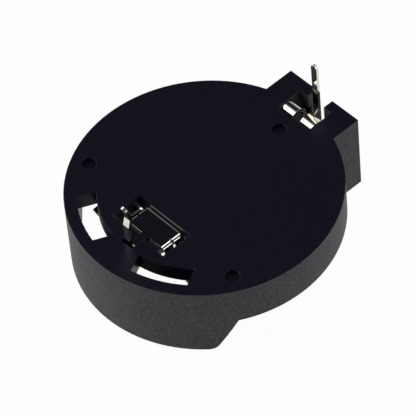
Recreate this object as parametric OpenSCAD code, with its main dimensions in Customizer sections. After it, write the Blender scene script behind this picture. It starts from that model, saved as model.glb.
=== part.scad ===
// Through-hole coin cell holder for one 20 mm cell, 3.2 mm thick.
// It stands as it does while it is being fitted with its solder pins up: +Z leaves
// the face that seats on the board, the cell goes in from below, and +X points at
// the tab that houses the positive contact. The origin is the centre of the board
// face, on the axis of the cell.

/* [Cell] */
// Diameter of the cell
cell_d = 20; // [18:0.5:24]
// Thickness of the cell
cell_h = 3.2; // [2:0.1:5]
// Gap between the cell and the pocket wall, on the radius
cell_gap = 0.45; // [0.2:0.05:0.8]

/* [Moulded housing] */
// Thickness of the wall round the pocket
wall_t = 0.95; // [0.7:0.05:1.6]
// Thickness of the floor between the board and the pocket
floor_t = 1.5; // [1.2:0.1:2.4]
// Room between the floor and the cell for the spring fingers
spring_room = 1.2; // [0.8:0.1:2]
// Depth of the rim where it is cut down for a fingertip
low_rim = 3.7; // [2.6:0.1:5]
// Where the cut-down rim starts, behind the axis
step_x = 5.75; // [4:0.25:7]
// Horizontal run of the sloped end of the cut
step_run = 1.65; // [0.5:0.05:2.5]
// Radius where the full rim rounds into the slope
step_r = 0.8; // [0.2:0.1:1.2]

/* [Lips over the cell] */
// Thickness of each lip
lip_t = 1; // [0.6:0.1:1.6]
// How far a lip reaches over the pocket
lip_reach = 1.5; // [0.8:0.1:1.8]
// Width of each lip
lip_w = 4.4; // [3:0.1:5.6]
// Angle of each lip from the tab, on both sides
lip_angle = 154; // [148:1:158]
// How much further than its lip each core slot reaches
slot_gap = 0.2; // [0.1:0.05:0.3]

/* [Tab] */
// Width of the tab
tab_w = 7.9; // [7:0.1:10]
// How far the tab stands out from the wall
tab_out = 2.1; // [1.8:0.1:3]
// How much deeper the tab is than the full rim
tab_extra = 0.8; // [0:0.1:1.5]
// Thickness of the tab's outer wall
tab_wall = 1; // [0.8:0.05:1.3]
// Width of the notch that the positive pin stands in
notch_w = 1.85; // [1.4:0.05:2.4]
// Depth of that notch
notch_depth = 4; // [2:0.1:5]

/* [Contacts] */
// Thickness of the contact sheet
sheet_t = 0.25; // [0.15:0.05:0.3]
// Width of both solder pins
pin_w = 0.65; // [0.5:0.05:0.8]
// How far the pins stand above the board face
pin_h = 4.3; // [2.5:0.1:5]
// Play between a contact and the plastic that guides it
play = 0.05; // [0.02:0.01:0.1]
// Width of the positive contact where it bends over
arch_w = 3.4; // [2.8:0.1:4]
// Distance across the bend, outside
arch_d = 1.72; // [1.5:0.02:2]
// Width of the anchor plate in the tab
anchor_w = 5; // [4.4:0.1:6]
// How far the arms lean over the edge of the cell
arm_bite = 0.4; // [0.2:0.05:0.6]
// Distance from the pocket wall to the middle of the negative contact
seat_in = 4.95; // [4.4:0.05:5.6]
// Distance from the pocket wall to the middle of the negative pin
neg_pin_in = 2.2; // [1.8:0.05:2.6]
// Width of each spring finger
finger_w = 0.95; // [0.6:0.05:1.1]
// Width of the slit between two fingers
slit_w = 0.2; // [0.15:0.05:0.4]
// Length of the flat bridge between the two bends
bridge_l = 3.6; // [3:0.1:4.4]
// How far the bridge lies below the board face
bridge_sink = 0.5; // [0.3:0.05:0.6]
// Straight length of each spring finger
finger_l = 3.4; // [2:0.1:3.8]
// Length of the window in the floor
window_l = 6; // [5.6:0.1:7]

/* [Ejector marks] */
// Diameter of each mark
mark_d = 1.2; // [0.8:0.1:1.6]
// Depth of each mark
mark_depth = 0.3; // [0.1:0.05:0.6]
// Angle of the two rear marks from the tab, on both sides
mark_angle = 120; // [110:1:130]
// Distance from the pocket wall to the middle of a rear mark
mark_in = 0.65; // [0.6:0.05:1.5]
// Distance from the well in the tab to the middle of the front mark
mark_off = 1.6; // [1:0.1:3]

/* [Hidden] */
$fn = 96;
cut = 1;                    // how far a cutter runs past the faces it goes through
bend_step = 7.5;            // degrees of bend between two stations
black = "#1b1b20";
plated = "#c9c7c0";

pocket_r = cell_d / 2 + cell_gap;
body_r = pocket_r + wall_t;
cell_floor = floor_t + spring_room;
lip_top = cell_floor + cell_h;
rim_depth = lip_top + lip_t;
tab_depth = rim_depth + tab_extra;
tab_x = body_r + tab_out;

// The well in the tab, and the groove behind it that holds the anchor plate
well_side = 0.1;            // gap beside the arms
well_in = 0.5;              // how far the well cuts into the floor inside the pocket wall
well_x0 = pocket_r - well_in;
well_x1 = tab_x - tab_wall;
well_w = arch_w + 2 * well_side;
groove_t = sheet_t + play;

// The arms of the positive contact
pin_gap = 0.09;             // cut between the pin and each arm
arch_gap = 0.08;            // between the arms and the edge of the well
arch_top = 0.1;             // depth of the top of the arch below the board face
arm_w = (arch_w - pin_w) / 2 - pin_gap;
arm_y = (arch_w - arm_w) / 2;
bend_r = 0.4;               // centreline radius of the ordinary bends
arch_r = (arch_d - sheet_t) / 2;
plate_x = well_x1 + sheet_t / 2;
arch_x = well_x0 + arch_gap + arch_d / 2;
arch_z = -arch_top - arch_d / 2;
offset_a = 50;              // slope of the offset between the plate and the arch
offset_x = plate_x - arch_x - arch_r;
offset_l = (offset_x - 2 * bend_r * (1 - cos(offset_a))) / sin(offset_a);
offset_rise = 2 * bend_r * sin(offset_a) + offset_l * cos(offset_a);
arm_root = 0.3;             // straight length in the plate, and again below the arch
plate_top = arch_z - arm_root - offset_rise;
plate_end = 0.8;            // distance from the plate's foot to the mouth of the tab
lean_a = 10;                // slope of an arm towards the cell
lead_a = 45;                // change of slope at the lead-in
lead_l = 0.9;

// The seat of the negative contact
seat_x = pocket_r - seat_in;
neg_pin_x = pocket_r - neg_pin_in;
seat_w = 2 * finger_w + slit_w;
window_x0 = -seat_x - seat_w / 2 - 0.75;
window_x1 = -seat_x + seat_w / 2 + 0.1;
seat_z = -bridge_sink - sheet_t;
foot_side = 0.3;            // gap beside the pin's foot
foot_end = 0.15;            // gap behind the pin

// The stations that a folded strip passes through, each [x, y, heading]. A move is
// [length, 0] for a straight run, or [radius, angle] for a bend of that centreline
// radius, turning left where the angle is positive.
function stations(moves, at = [0, 0], heading = 0, i = 0) =
    i == len(moves) ? [[at.x, at.y, heading]] :
    let (size = moves[i][0], turn = moves[i][1])
    turn == 0
        ? concat([[at.x, at.y, heading]],
                 stations(moves, at + size * [cos(heading), sin(heading)], heading, i + 1))
        : let (side = sign(turn), steps = ceil(abs(turn) / bend_step),
               centre = at + side * size * [-sin(heading), cos(heading)],
               bend = [for (k = [0:steps]) let (a = heading + turn * k / steps)
                        concat(centre + side * size * [sin(a), -cos(a)], a)],
               last = bend[steps])
          concat([for (k = [0:steps - 1]) bend[k]],
                 stations(moves, [last.x, last.y], last.z, i + 1));

// One side of the sheet along those stations, off the centreline by d.
function sheet_side(path, d) = [for (p = path) [p.x - d * sin(p.z), p.y + d * cos(p.z)]];

function reversed(list) = [for (i = [len(list) - 1:-1:0]) list[i]];

// A folded strip of the sheet, w wide. It starts along +X and turns towards +Z.
module strip(moves, w) {
    path = stations(moves);
    rotate([90, 0, 0]) linear_extrude(w, center = true)
        polygon(concat(sheet_side(path, sheet_t / 2), reversed(sheet_side(path, -sheet_t / 2))));
}

// A strip as wide as a solder pin, with its far end cut to a half round.
module pin_strip(moves) {
    end = reversed(stations(moves))[0];
    difference() {
        strip(moves, pin_w);
        translate([end.x, 0, end.y]) rotate([0, -end.z, 0])
            translate([-pin_w / 2, 0, -cut / 2]) difference() {
                translate([0, -pin_w, 0]) cube([pin_w, 2 * pin_w, cut]);
                translate([0, 0, -cut / 2]) cylinder(d = pin_w, h = 2 * cut, $fn = 48);
            }
    }
}

// The side profile of what is cut away where the rim is low. The full rim's lower
// corner is rounded, and its end slopes up to the low rim.
module low_rim_profile() {
    slope = atan2(rim_depth - low_rim, step_run);
    foot_x = -step_x - step_run;
    centre = [foot_x - step_r * tan(slope / 2), step_r - rim_depth];
    reach = tab_x + cut;
    polygon(concat(
        [[centre.x, -tab_depth - cut]],
        [for (i = [0:8]) centre + step_r * [cos(i / 8 * slope - 90), sin(i / 8 * slope - 90)]],
        [[-step_x, -low_rim], [reach, -low_rim], [reach, -tab_depth - cut]]));
}

// A bar of the ring between two radii, w wide, with straight ends, at the lip angle.
module ring_bar(r0, r1, w, z0, z1) {
    translate([0, 0, z0])
        linear_extrude(z1 - z0) intersection() {
            difference() {
                circle(r = r1);
                circle(r = r0);
            }
            translate([0, -w / 2]) square([r1 + cut, w]);
        }
}

module both_lips() {
    for (side = [-1, 1]) rotate([0, 0, side * lip_angle]) children();
}

module rim_and_tab() {
    difference() {
        translate([0, 0, -rim_depth]) cylinder(r = body_r, h = rim_depth, $fn = 180);
        translate([0, body_r + cut, 0]) rotate([90, 0, 0])
            linear_extrude(2 * (body_r + cut)) low_rim_profile();
    }
    tab_root = sqrt(pow(pocket_r, 2) - pow(tab_w / 2, 2));
    translate([tab_root, -tab_w / 2, -tab_depth])
        cube([tab_x - tab_root, tab_w, tab_depth]);
}

// Everything cut into the tab: the well that runs right through it, the groove
// that the anchor plate slides up, and the notch for the pin.
module tab_cuts() {
    translate([well_x0, -well_w / 2, -tab_depth - cut])
        cube([well_x1 - well_x0, well_w, tab_depth + 2 * cut]);
    groove_w = anchor_w + 2 * play;
    translate([well_x1 - play, -groove_w / 2, -tab_depth - cut])
        cube([groove_t + play, groove_w, tab_depth + cut - floor_t]);
    translate([well_x1 - cut, -notch_w / 2, -notch_depth])
        cube([tab_wall + 2 * cut, notch_w, notch_depth + cut]);
}

// The window for the negative contact. A bar across its middle carries the bridge,
// and the notch beside it takes the foot of the pin.
module window_cuts() {
    for (side = [0, 180]) rotate([0, 0, side])
        translate([side == 0 ? window_x0 : -window_x1, bridge_l / 2, -floor_t - cut])
            cube([window_x1 - window_x0, (window_l - bridge_l) / 2, floor_t + 2 * cut]);
    translate([window_x0, -bridge_l / 2 - cut / 2, seat_z])
        cube([window_x1 - window_x0, bridge_l + cut, cut - seat_z]);
    notch_x = neg_pin_x + sheet_t / 2 + foot_end;
    translate([-notch_x, -pin_w / 2 - foot_side, seat_z])
        cube([notch_x + window_x0 + cut, pin_w + 2 * foot_side, cut - seat_z]);
}

module ejector_marks() {
    rear_r = pocket_r - mark_in;
    for (place = [[well_x0 - mark_off, 0], [rear_r, mark_angle], [rear_r, -mark_angle]])
        rotate([0, 0, place[1]]) translate([place[0], 0, -mark_depth])
            cylinder(d = mark_d, h = mark_depth + cut, $fn = 32);
}

module housing() {
    color(black) {
        difference() {
            rim_and_tab();
            translate([0, 0, -tab_depth - cut])
                cylinder(r = pocket_r, h = tab_depth + cut - floor_t, $fn = 180);
            both_lips() ring_bar(pocket_r - lip_reach - slot_gap, pocket_r - slot_gap / 2,
                                 lip_w + 2 * slot_gap, -floor_t - cut, cut);
            tab_cuts();
            window_cuts();
            ejector_marks();
        }
        both_lips() ring_bar(pocket_r - lip_reach, pocket_r + wall_t / 2, lip_w,
                             -rim_depth, -lip_top);
    }
}

// One folded strip of plated spring sheet. The plate slides up the groove in the
// tab, the pin runs straight on from it, and an arm on each side of the pin bends
// over into the pocket to press on the rim of the cell.
module positive_contact() {
    lean_start = lip_top - cell_h - arch_z - 2 * arch_d;
    lean_l = arm_bite / sin(lean_a);
    arm = [[arm_root, 0], [bend_r, offset_a], [offset_l, 0], [bend_r, -offset_a],
           [arm_root, 0], [arch_r, 180], [lean_start, 0], [bend_r, -lean_a],
           [lean_l, 0], [bend_r, lead_a], [lead_l, 0]];
    foot_z = -tab_depth + plate_end;
    shoulder_w = (anchor_w - well_w) / 2;
    color(plated) {
        translate([well_x1, -anchor_w / 2, foot_z])
            cube([sheet_t, anchor_w, plate_top - foot_z]);
        for (side = [-1, 1])
            translate([well_x1, side * (anchor_w - shoulder_w) / 2 - shoulder_w / 2, foot_z])
                cube([sheet_t, shoulder_w, -floor_t - foot_z]);
        translate([plate_x, 0, foot_z]) rotate([0, -90, 0])
            pin_strip([[pin_h - foot_z, 0]]);
        for (side = [-1, 1])
            translate([plate_x, side * arm_y, plate_top - arm_root]) rotate([0, -90, 0])
                strip(arm, arm_w);
    }
}

// One stamped and folded strip. The bridge lies on the bar in the window, two
// fingers at each end pass through the floor and spring towards the cell, and the
// foot at the side turns up into the pin.
module negative_contact() {
    bridge_z = seat_z + sheet_t / 2;
    fall_a = 80;
    rise_a = 56;
    tip_a = 44;
    finger = [[bridge_l / 2, 0], [bend_r, -fall_a], [0.25, 0], [bend_r, rise_a],
              [finger_l, 0], [0.6, tip_a], [0.5, 0]];
    foot_l = neg_pin_x - seat_x - bend_r;
    kink_a = 16;
    kink_z = 1.9;
    kink_l = 0.75;
    kink_rise = 3 * bend_r * sin(kink_a) + kink_l * cos(kink_a);
    tip_l = (pin_h - kink_z - kink_rise) / cos(kink_a);
    pin = [[foot_l, 0], [bend_r, 90], [kink_z - bridge_z - bend_r, 0], [bend_r, kink_a],
           [kink_l, 0], [bend_r, -2 * kink_a], [tip_l, 0]];
    color(plated) {
        translate([-seat_x - seat_w / 2, -bridge_l / 2, seat_z])
            cube([seat_w, bridge_l, sheet_t]);
        for (end = [-90, 90], side = [-1, 1])
            translate([-seat_x, 0, bridge_z]) rotate([0, 0, end])
                translate([0, side * (finger_w + slit_w) / 2, 0]) strip(finger, finger_w);
        translate([-seat_x, 0, bridge_z]) rotate([0, 0, 180]) pin_strip(pin);
    }
}

housing();
positive_contact();
negative_contact();
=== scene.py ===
"""Finishes a coin cell holder.

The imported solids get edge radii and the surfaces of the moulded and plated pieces, and stand
on a white table in soft studio light.
"""

import math

import bmesh
import bpy
from bpy.props import FloatProperty, FloatVectorProperty, PointerProperty
from mathutils import Matrix, Vector


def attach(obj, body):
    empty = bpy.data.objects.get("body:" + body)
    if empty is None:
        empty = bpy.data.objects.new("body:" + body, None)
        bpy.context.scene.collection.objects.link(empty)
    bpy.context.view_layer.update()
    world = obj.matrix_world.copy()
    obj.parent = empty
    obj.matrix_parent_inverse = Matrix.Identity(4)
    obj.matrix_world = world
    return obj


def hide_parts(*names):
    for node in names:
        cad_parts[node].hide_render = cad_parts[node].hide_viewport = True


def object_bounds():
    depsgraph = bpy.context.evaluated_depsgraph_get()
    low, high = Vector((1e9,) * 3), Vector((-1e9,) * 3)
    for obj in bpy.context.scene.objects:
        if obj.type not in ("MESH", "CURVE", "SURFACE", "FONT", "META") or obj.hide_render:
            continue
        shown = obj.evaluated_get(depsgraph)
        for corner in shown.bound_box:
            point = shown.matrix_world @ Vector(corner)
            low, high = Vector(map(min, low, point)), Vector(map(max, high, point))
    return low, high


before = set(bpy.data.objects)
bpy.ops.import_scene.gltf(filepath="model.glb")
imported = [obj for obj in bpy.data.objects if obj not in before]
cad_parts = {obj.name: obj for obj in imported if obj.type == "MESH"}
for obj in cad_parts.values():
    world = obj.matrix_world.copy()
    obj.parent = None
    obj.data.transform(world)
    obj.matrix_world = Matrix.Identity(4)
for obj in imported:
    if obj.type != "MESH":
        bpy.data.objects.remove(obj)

bl_info = {
    "name": "Coin Cell Holder",
    "version": (1, 0, 0),
    "blender": (4, 5, 0),
    "location": "View3D > Sidebar > Cell Holder",
    "description": "Builds a through-hole coin cell holder's finish, its table and its lights",
    "category": "Object",
}

MM = 0.001
CAD_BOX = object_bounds()
BODY = "root"

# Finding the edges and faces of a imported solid
MERGE = 1e-6                    # metres: closer corners are one corner
FLAT = math.radians(0.2)        # faces closer than this in angle are one flat face
SHARP = math.radians(30)        # edges over this angle get a radius
EDGE_SEGMENTS = 2               # strips across a rounded edge
UPRIGHT = 0.95                  # a face whose normal rises less than this is a side
OUTER_BAND = 0.2 * MM           # how far in from the rim a side still counts as outer

# Patterns on the surfaces
ABS_IOR = 1.54
PATCHES = 2.5 * MM              # patches of the grained walls that shine more or less
WAVES = 5 * MM                  # waviness of a thin moulding
WAVE_DEPTH = 0.02 * MM
HAZE = 0.6 * MM                 # uneven gloss left by the polished tool
PLATING_CLOUDS = 1.2 * MM       # uneven gloss of the plating
ROLLING_DEPTH = 0.0006 * MM

# Table and camera
TABLE_RADIUS = 4                # metres
TABLE_SEGMENTS = 96
PLAIN_SHARE = 0.97              # how much of the table's look is plain white, not shaded
SENSOR_WIDTH = 36               # mm

# The room, by height (the sine of the angle above the horizon)
WALL_TOP = 0.2
CEILING_START = 0.5
CARD_BLUR = math.radians(5)     # soft border of the dark card
DIM_START = -0.6                # cosine to the mirrored direction where the room is dimmest
DIM_END = 0.4                   # and where it is at its full strength
DIMMEST = 0.3


def linear(colour):
    """The linear colour of an sRGB hex value, with an alpha of 1."""
    channels = [int(colour[i:i + 2], 16) / 255 for i in (1, 3, 5)]
    plain = [c / 12.92 if c <= 0.04045 else ((c + 0.055) / 1.055) ** 2.4 for c in channels]
    return (*plain, 1)


def colour_property(name, description, colour):
    return FloatVectorProperty(
        name=name, description=description, default=linear(colour), size=4,
        min=0, max=1, subtype="COLOR")


def size_property(name, description, metres):
    return FloatProperty(
        name=name, description=description, default=metres, min=0,
        unit="LENGTH", subtype="DISTANCE")


class HousingFinish(bpy.types.PropertyGroup):
    edge_radius: size_property(
        "Edge radius", "Radius that the mould leaves on the housing's edges", 0.035 * MM)
    plastic: colour_property("Plastic", "Colour of the moulded black plastic", "#050517")
    # Painted light on the grained walls: painted shade in the grain's pits and a painted sheen on
    # its tops, lighter than the black plastic
    shaded_pits: colour_property("Pits", "Colour down in the spark-eroded grain", "#020203")
    lit_peaks: colour_property("Peaks", "Colour of the highlit tops of that grain", "#3c3d42")
    grain: size_property("Grain", "Spacing of the spark-eroded grain on the outer walls", 0.2 * MM)
    grain_depth: size_property("Grain depth", "Depth of that grain", 0.03 * MM)


class ContactFinish(bpy.types.PropertyGroup):
    edge_radius: size_property(
        "Edge radius", "Radius that stamping and plating leave on the sheet's edges", 0.007 * MM)
    plating: colour_property("Plating", "Colour of the plated strip", "#d9d6cc")
    rolling: size_property(
        "Rolling marks", "Spacing of the fine marks that rolling leaves in the strip", 0.08 * MM)


class StageSettings(bpy.types.PropertyGroup):
    table_colour: colour_property("Table", "Colour of the white table", "#f4f4f2")
    wall_colour: colour_property("Walls", "Colour of the white walls round the table", "#ffffff")
    ceiling_colour: colour_property("Ceiling", "Colour of the grey ceiling", "#62646c")
    card_colour: colour_property(
        "Card", "Colour of the card that the flat face mirrors", "#16161f")
    card_angle: FloatProperty(
        name="Card size", description="Half of the angle that the card covers",
        default=math.radians(9), unit="ROTATION", subtype="ANGLE")
    azimuth: FloatProperty(
        name="Azimuth", description="Turn of the camera round the holder",
        default=math.radians(-38.83), unit="ROTATION", subtype="ANGLE")
    elevation: FloatProperty(
        name="Elevation", description="Angle of the camera above the table",
        default=math.radians(49.21), unit="ROTATION", subtype="ANGLE")
    roll: FloatProperty(
        name="Roll", description="Turn of the camera about its own axis",
        default=math.radians(-5.62), unit="ROTATION", subtype="ANGLE")
    distance: size_property("Distance", "Distance from the camera to the board face", 319.8 * MM)
    lens: FloatProperty(
        name="Lens", description="Focal length on a 36 mm sensor", default=343.7, min=1,
        unit="CAMERA")
    aim_right: size_property("Aim right", "How far right of the origin the camera aims", 0.301 * MM)
    aim_down: size_property("Aim down", "How far below the origin the camera aims", 1.822 * MM)


# ---------------------------------------------------------------- materials

def add(tree, kind, inputs=None, **settings):
    """Adds a node, applies its settings, and sets or links its inputs."""
    made = tree.nodes.new(kind)
    for key, value in settings.items():
        setattr(made, key, value)
    for key, value in (inputs or {}).items():
        if isinstance(value, bpy.types.NodeSocket):
            tree.links.new(value, made.inputs[key])
        else:
            made.inputs[key].default_value = value
    return made


def new_material(name):
    material = bpy.data.materials.new(name)
    material.use_nodes = True
    material.node_tree.nodes.clear()
    return material, material.node_tree


def finish_material(tree, shader):
    add(tree, "ShaderNodeOutputMaterial", {"Surface": shader.outputs[0]})


def object_coordinates(tree):
    return add(tree, "ShaderNodeTexCoord").outputs["Object"]


def spark_eroded_abs(finish):
    """Black ABS, moulded against a spark-eroded tool: a fine even grain that scatters
    the light of the room, so it looks dark grey where the smooth face looks black. That
    grey is painted into the colour: a painted sheen on the grain's tops, lighter than the
    black plastic, and painted shade in its pits. The grain is drawn coarse enough to show."""
    material, tree = new_material("black_abs_spark_eroded_painted_sheen")
    place = object_coordinates(tree)
    grain = add(tree, "ShaderNodeTexNoise",
                {"Vector": place, "Scale": 1 / finish.grain, "Detail": 3.0, "Roughness": 0.6})
    patches = add(tree, "ShaderNodeTexNoise",
                  {"Vector": place, "Scale": 1 / PATCHES, "Detail": 2.0})
    roughness = add(tree, "ShaderNodeMapRange",
                    {"Value": patches.outputs["Fac"], "To Min": 0.52, "To Max": 0.66})
    # Painted light and shade: lighter on the grain's tops and darker in its pits, following the
    # bump's height
    grain_shading = add(tree, "ShaderNodeMapRange", {
        "Value": grain.outputs["Fac"], "From Min": 0.32, "From Max": 0.68})
    colour = add(tree, "ShaderNodeMix", {
        "Factor": grain_shading.outputs["Result"], "A": finish.shaded_pits, "B": finish.lit_peaks},
        data_type="RGBA")
    bump = add(tree, "ShaderNodeBump",
               {"Height": grain.outputs["Fac"], "Distance": finish.grain_depth, "Strength": 1.0})
    shader = add(tree, "ShaderNodeBsdfPrincipled", {
        "Base Color": colour.outputs["Result"], "Roughness": roughness.outputs["Result"],
        "IOR": ABS_IOR, "Specular IOR Level": 0.28, "Normal": bump.outputs["Normal"]})
    finish_material(tree, shader)
    return material


def polished_abs(finish):
    """The same black ABS, moulded against a polished tool: smooth, with the slight
    waviness of a thin moulding, so it mirrors the dim ceiling and looks black."""
    material, tree = new_material("black_abs_polished")
    place = object_coordinates(tree)
    waves = add(tree, "ShaderNodeTexNoise",
                {"Vector": place, "Scale": 1 / WAVES, "Detail": 2.0})
    haze = add(tree, "ShaderNodeTexNoise",
               {"Vector": place, "Scale": 1 / HAZE, "Detail": 4.0})
    roughness = add(tree, "ShaderNodeMapRange",
                    {"Value": haze.outputs["Fac"], "To Min": 0.34, "To Max": 0.44})
    bump = add(tree, "ShaderNodeBump",
               {"Height": waves.outputs["Fac"], "Distance": WAVE_DEPTH, "Strength": 1.0})
    shader = add(tree, "ShaderNodeBsdfPrincipled", {
        "Base Color": finish.plastic, "Roughness": roughness.outputs["Result"],
        "IOR": ABS_IOR, "Specular IOR Level": 0.18, "Normal": bump.outputs["Normal"]})
    finish_material(tree, shader)
    return material


def plated_strip(finish):
    """Bright nickel plating over rolled spring strip: a soft mirror, with faint
    marks from the rolls, drawn coarse enough to show."""
    material, tree = new_material("nickel_plated_spring_strip")
    place = object_coordinates(tree)
    marks = add(tree, "ShaderNodeTexNoise",
                {"Vector": place, "Scale": 1 / finish.rolling, "Detail": 2.0})
    cloud = add(tree, "ShaderNodeTexNoise",
                {"Vector": place, "Scale": 1 / PLATING_CLOUDS, "Detail": 2.0})
    roughness = add(tree, "ShaderNodeMapRange",
                    {"Value": cloud.outputs["Fac"], "To Min": 0.06, "To Max": 0.11})
    bump = add(tree, "ShaderNodeBump",
               {"Height": marks.outputs["Fac"], "Distance": ROLLING_DEPTH, "Strength": 1.0})
    shader = add(tree, "ShaderNodeBsdfPrincipled", {
        "Base Color": finish.plating, "Metallic": 1.0, "Roughness": roughness.outputs["Result"],
        "Normal": bump.outputs["Normal"]})
    finish_material(tree, shader)
    return material


def background_ray(tree):
    """1 for the rays that show the background: straight to the camera, or mirrored."""
    path = add(tree, "ShaderNodeLightPath")
    glossy = add(tree, "ShaderNodeMath", operation="MAXIMUM")
    tree.links.new(path.outputs["Is Camera Ray"], glossy.inputs[0])
    tree.links.new(path.outputs["Is Glossy Ray"], glossy.inputs[1])
    both = add(tree, "ShaderNodeMath", operation="MAXIMUM")
    tree.links.new(glossy.outputs[0], both.inputs[0])
    tree.links.new(path.outputs["Is Transmission Ray"], both.inputs[1])
    return both.outputs[0]


def white_table(stage):
    """A matt white table top, seen as plain white but for a faint part of the holder's shadow."""
    material, tree = new_material("matt_white_table")
    shaded = add(tree, "ShaderNodeBsdfDiffuse", {"Color": stage.table_colour})
    plain = add(tree, "ShaderNodeEmission", {"Color": (1, 1, 1, 1), "Strength": 1.0})
    share = add(tree, "ShaderNodeMath", {
        0: background_ray(tree), 1: PLAIN_SHARE}, operation="MULTIPLY")
    mix = add(tree, "ShaderNodeMixShader", {
        "Fac": share.outputs[0], 1: shaded.outputs[0], 2: plain.outputs[0]})
    finish_material(tree, mix)
    return material


# ---------------------------------------------------------------- pieces

def merged_copy(node):
    """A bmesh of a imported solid, with its loose triangles joined into whole faces."""
    mesh = bmesh.new()
    mesh.from_mesh(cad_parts[node].data)
    bmesh.ops.remove_doubles(mesh, verts=mesh.verts, dist=MERGE)
    bmesh.ops.dissolve_limit(
        mesh, angle_limit=FLAT, use_dissolve_boundaries=False,
        verts=mesh.verts, edges=mesh.edges, delimit=set())
    return mesh


def round_edges(mesh, radius):
    """Gives every sharp outward edge a radius, and keeps the flat faces beside it flat."""
    sharp = [e for e in mesh.edges if e.calc_face_angle(0) > SHARP]
    for edge in sharp:
        edge.smooth = edge.is_convex
    made = bmesh.ops.bevel(
        mesh, geom=[e for e in sharp if e.is_convex], offset=radius, offset_type="OFFSET",
        affect="EDGES", segments=EDGE_SEGMENTS, profile=0.5, material=-1, clamp_overlap=False,
        miter_outer="ARC", loop_slide=True)
    rounded = set(made["faces"])
    for edge in mesh.edges:
        if len({face in rounded for face in edge.link_faces}) == 2:
            edge.smooth = False


def place_piece(name, mesh, materials, node):
    """Makes the object of a finished piece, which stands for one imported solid."""
    for face in mesh.faces:
        face.smooth = True
    data = bpy.data.meshes.new(name)
    mesh.to_mesh(data)
    mesh.free()
    for material in materials:
        data.materials.append(material)
    piece = bpy.data.objects.new(name, data)
    bpy.context.scene.collection.objects.link(piece)
    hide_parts(node)
    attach(piece, BODY)


class HOLDER_OT_housing(bpy.types.Operator):
    """Builds the moulded housing: polished inside and on the board face, grained outside"""

    bl_idname = "holder.housing"
    bl_label = "Housing"

    def execute(self, context):
        finish = context.scene.housing_finish
        mesh = merged_copy("housing")
        outer = max(v.co.y for v in mesh.verts)
        for face in mesh.faces:
            middle = face.calc_center_median()
            upright = abs(face.normal.z) < UPRIGHT
            outside = Vector((middle.x, middle.y, 0)).length > outer - OUTER_BAND
            face.material_index = 1 if upright and outside else 0
        round_edges(mesh, finish.edge_radius)
        place_piece("moulded_housing", mesh, [polished_abs(finish), spark_eroded_abs(finish)],
                    "housing")
        return {"FINISHED"}


class HOLDER_OT_contacts(bpy.types.Operator):
    """Builds the two folded contacts of plated spring strip"""

    bl_idname = "holder.contacts"
    bl_label = "Contacts"

    def execute(self, context):
        finish = context.scene.contact_finish
        plating = plated_strip(finish)
        for node in ("positive_contact", "negative_contact"):
            mesh = merged_copy(node)
            round_edges(mesh, finish.edge_radius)
            place_piece("plated_" + node, mesh, [plating], node)
        return {"FINISHED"}


# ---------------------------------------------------------------- stage

def softbox(name, target, azimuth, elevation, distance, width, height, radiance):
    """An area lamp that faces the target, as bright as a panel of that radiance.
    Angles are in degrees, from +X and above the table, and lengths in metres."""
    data = bpy.data.lights.new(name, "AREA")
    data.shape = "RECTANGLE"
    data.size = width
    data.size_y = height
    data.energy = radiance * math.pi * width * height
    lamp = bpy.data.objects.new(name, data)
    bpy.context.scene.collection.objects.link(lamp)
    a, e = math.radians(azimuth), math.radians(elevation)
    back = Vector((math.cos(a) * math.cos(e), math.sin(a) * math.cos(e), math.sin(e)))
    lamp.matrix_world = Matrix.LocRotScale(
        target + distance * back, back.to_track_quat("Z", "Y"), None)


def camera_axes(stage):
    """The camera's right, up and backward directions when it looks at the origin."""
    a, e = stage.azimuth, stage.elevation
    back = Vector((math.sin(a) * math.cos(e), -math.cos(a) * math.cos(e), math.sin(e)))
    level = Vector((math.cos(a), math.sin(a), 0))
    upright = back.cross(level)
    right = math.cos(stage.roll) * level + math.sin(stage.roll) * upright
    up = math.cos(stage.roll) * upright - math.sin(stage.roll) * level
    return right, up, back


def place_camera(stage):
    """Sets up the camera, aimed a little off the origin."""
    right, up, back = camera_axes(stage)
    eye = stage.distance * back
    aim = stage.aim_right * right - stage.aim_down * up
    z = (eye - aim).normalized()
    x = up.cross(z).normalized()
    y = z.cross(x)
    data = bpy.data.cameras.new("camera")
    data.sensor_width = SENSOR_WIDTH
    data.lens = stage.lens
    data.clip_start = 0.01
    data.clip_end = 20
    camera = bpy.data.objects.new("camera", data)
    bpy.context.scene.collection.objects.link(camera)
    turn = Matrix((x, y, z)).transposed()
    camera.matrix_world = Matrix.LocRotScale(eye, turn.to_quaternion(), None)
    bpy.context.scene.camera = camera


def place_table(stage, height):
    """A wide round table top at that height. It carries the shadow and is no piece."""
    mesh = bmesh.new()
    bmesh.ops.create_circle(mesh, cap_ends=True, segments=TABLE_SEGMENTS, radius=TABLE_RADIUS)
    bmesh.ops.translate(mesh, verts=mesh.verts, vec=(0, 0, height))
    data = bpy.data.meshes.new("table")
    mesh.to_mesh(data)
    mesh.free()
    data.materials.append(white_table(stage))
    table = bpy.data.objects.new("table", data)
    bpy.context.scene.collection.objects.link(table)


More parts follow.
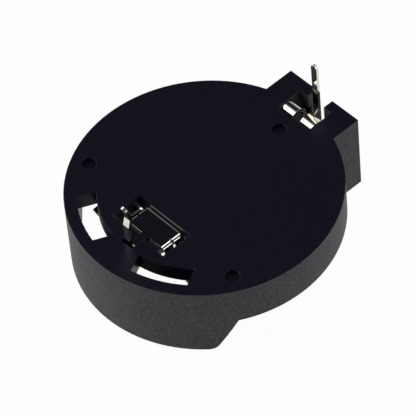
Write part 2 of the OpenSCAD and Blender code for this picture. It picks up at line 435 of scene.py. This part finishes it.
def light_room(stage, mirrored):
    """White walls under a grey ceiling, and a dark card in the direction that the flat
    face mirrors. The room is dimmer on the camera's side."""
    world = bpy.data.worlds.new("studio")
    bpy.context.scene.world = world
    world.use_nodes = True
    tree = world.node_tree
    tree.nodes.clear()
    way = add(tree, "ShaderNodeTexCoord").outputs["Generated"]
    height = add(tree, "ShaderNodeSeparateXYZ", {0: way}).outputs["Z"]
    ceiling = add(tree, "ShaderNodeMapRange", {
        "Value": height, "From Min": WALL_TOP, "From Max": CEILING_START})
    room = add(tree, "ShaderNodeMix", {
        "Factor": ceiling.outputs["Result"], "A": stage.wall_colour, "B": stage.ceiling_colour},
        data_type="RGBA")
    facing = add(tree, "ShaderNodeVectorMath", {0: way, 1: mirrored}, operation="DOT_PRODUCT")
    card = add(tree, "ShaderNodeMapRange", {
        "Value": facing.outputs["Value"],
        "From Min": math.cos(stage.card_angle + CARD_BLUR),
        "From Max": math.cos(stage.card_angle)})
    carded = add(tree, "ShaderNodeMix", {
        "Factor": card.outputs["Result"], "A": room.outputs["Result"], "B": stage.card_colour},
        data_type="RGBA")
    dimmed = add(tree, "ShaderNodeMapRange", {
        "Value": facing.outputs["Value"], "From Min": DIM_START, "From Max": DIM_END,
        "To Min": DIMMEST, "To Max": 1.0})
    light = add(tree, "ShaderNodeBackground", {
        "Color": carded.outputs["Result"], "Strength": dimmed.outputs["Result"]})
    add(tree, "ShaderNodeOutputWorld", {"Surface": light.outputs[0]})


class HOLDER_OT_stage(bpy.types.Operator):
    """Sets the white table, the soft light and the camera"""

    bl_idname = "holder.stage"
    bl_label = "Table, lights and camera"

    def execute(self, context):
        stage = context.scene.stage_settings
        low, high = CAD_BOX
        middle = (low + high) / 2
        place_table(stage, low.z)
        back = camera_axes(stage)[2]
        light_room(stage, Vector((-back.x, -back.y, back.z)))
        softbox("left_softbox", middle, azimuth=125, elevation=33, distance=0.5,
                width=0.62, height=0.58, radiance=2.0)
        softbox("right_softbox", middle, azimuth=-60, elevation=28, distance=0.6,
                width=0.5, height=0.3, radiance=2.5)
        softbox("top_lamp", middle, azimuth=5, elevation=65, distance=0.5,
                width=0.1, height=0.1, radiance=3.0)
        place_camera(stage)
        context.scene.view_settings.view_transform = "Standard"
        return {"FINISHED"}


class HOLDER_PT_panel(bpy.types.Panel):
    bl_idname = "HOLDER_PT_panel"
    bl_label = "Coin Cell Holder"
    bl_space_type = "VIEW_3D"
    bl_region_type = "UI"
    bl_category = "Cell Holder"

    def draw(self, context):
        layout = self.layout
        groups = (
            (context.scene.housing_finish, "holder.housing"),
            (context.scene.contact_finish, "holder.contacts"),
            (context.scene.stage_settings, "holder.stage"),
        )
        for settings, operator in groups:
            box = layout.box()
            for name in settings.__annotations__:
                box.prop(settings, name)
            box.operator(operator)


CLASSES = (
    HousingFinish, ContactFinish, StageSettings,
    HOLDER_OT_housing, HOLDER_OT_contacts, HOLDER_OT_stage, HOLDER_PT_panel,
)


def register():
    for cls in CLASSES:
        bpy.utils.register_class(cls)
    bpy.types.Scene.housing_finish = PointerProperty(type=HousingFinish)
    bpy.types.Scene.contact_finish = PointerProperty(type=ContactFinish)
    bpy.types.Scene.stage_settings = PointerProperty(type=StageSettings)


def unregister():
    del bpy.types.Scene.stage_settings
    del bpy.types.Scene.contact_finish
    del bpy.types.Scene.housing_finish
    for cls in reversed(CLASSES):
        bpy.utils.unregister_class(cls)


def main():
    register()
    bpy.ops.holder.housing()
    bpy.ops.holder.contacts()
    bpy.ops.holder.stage()


if __name__ == "__main__":
    main()
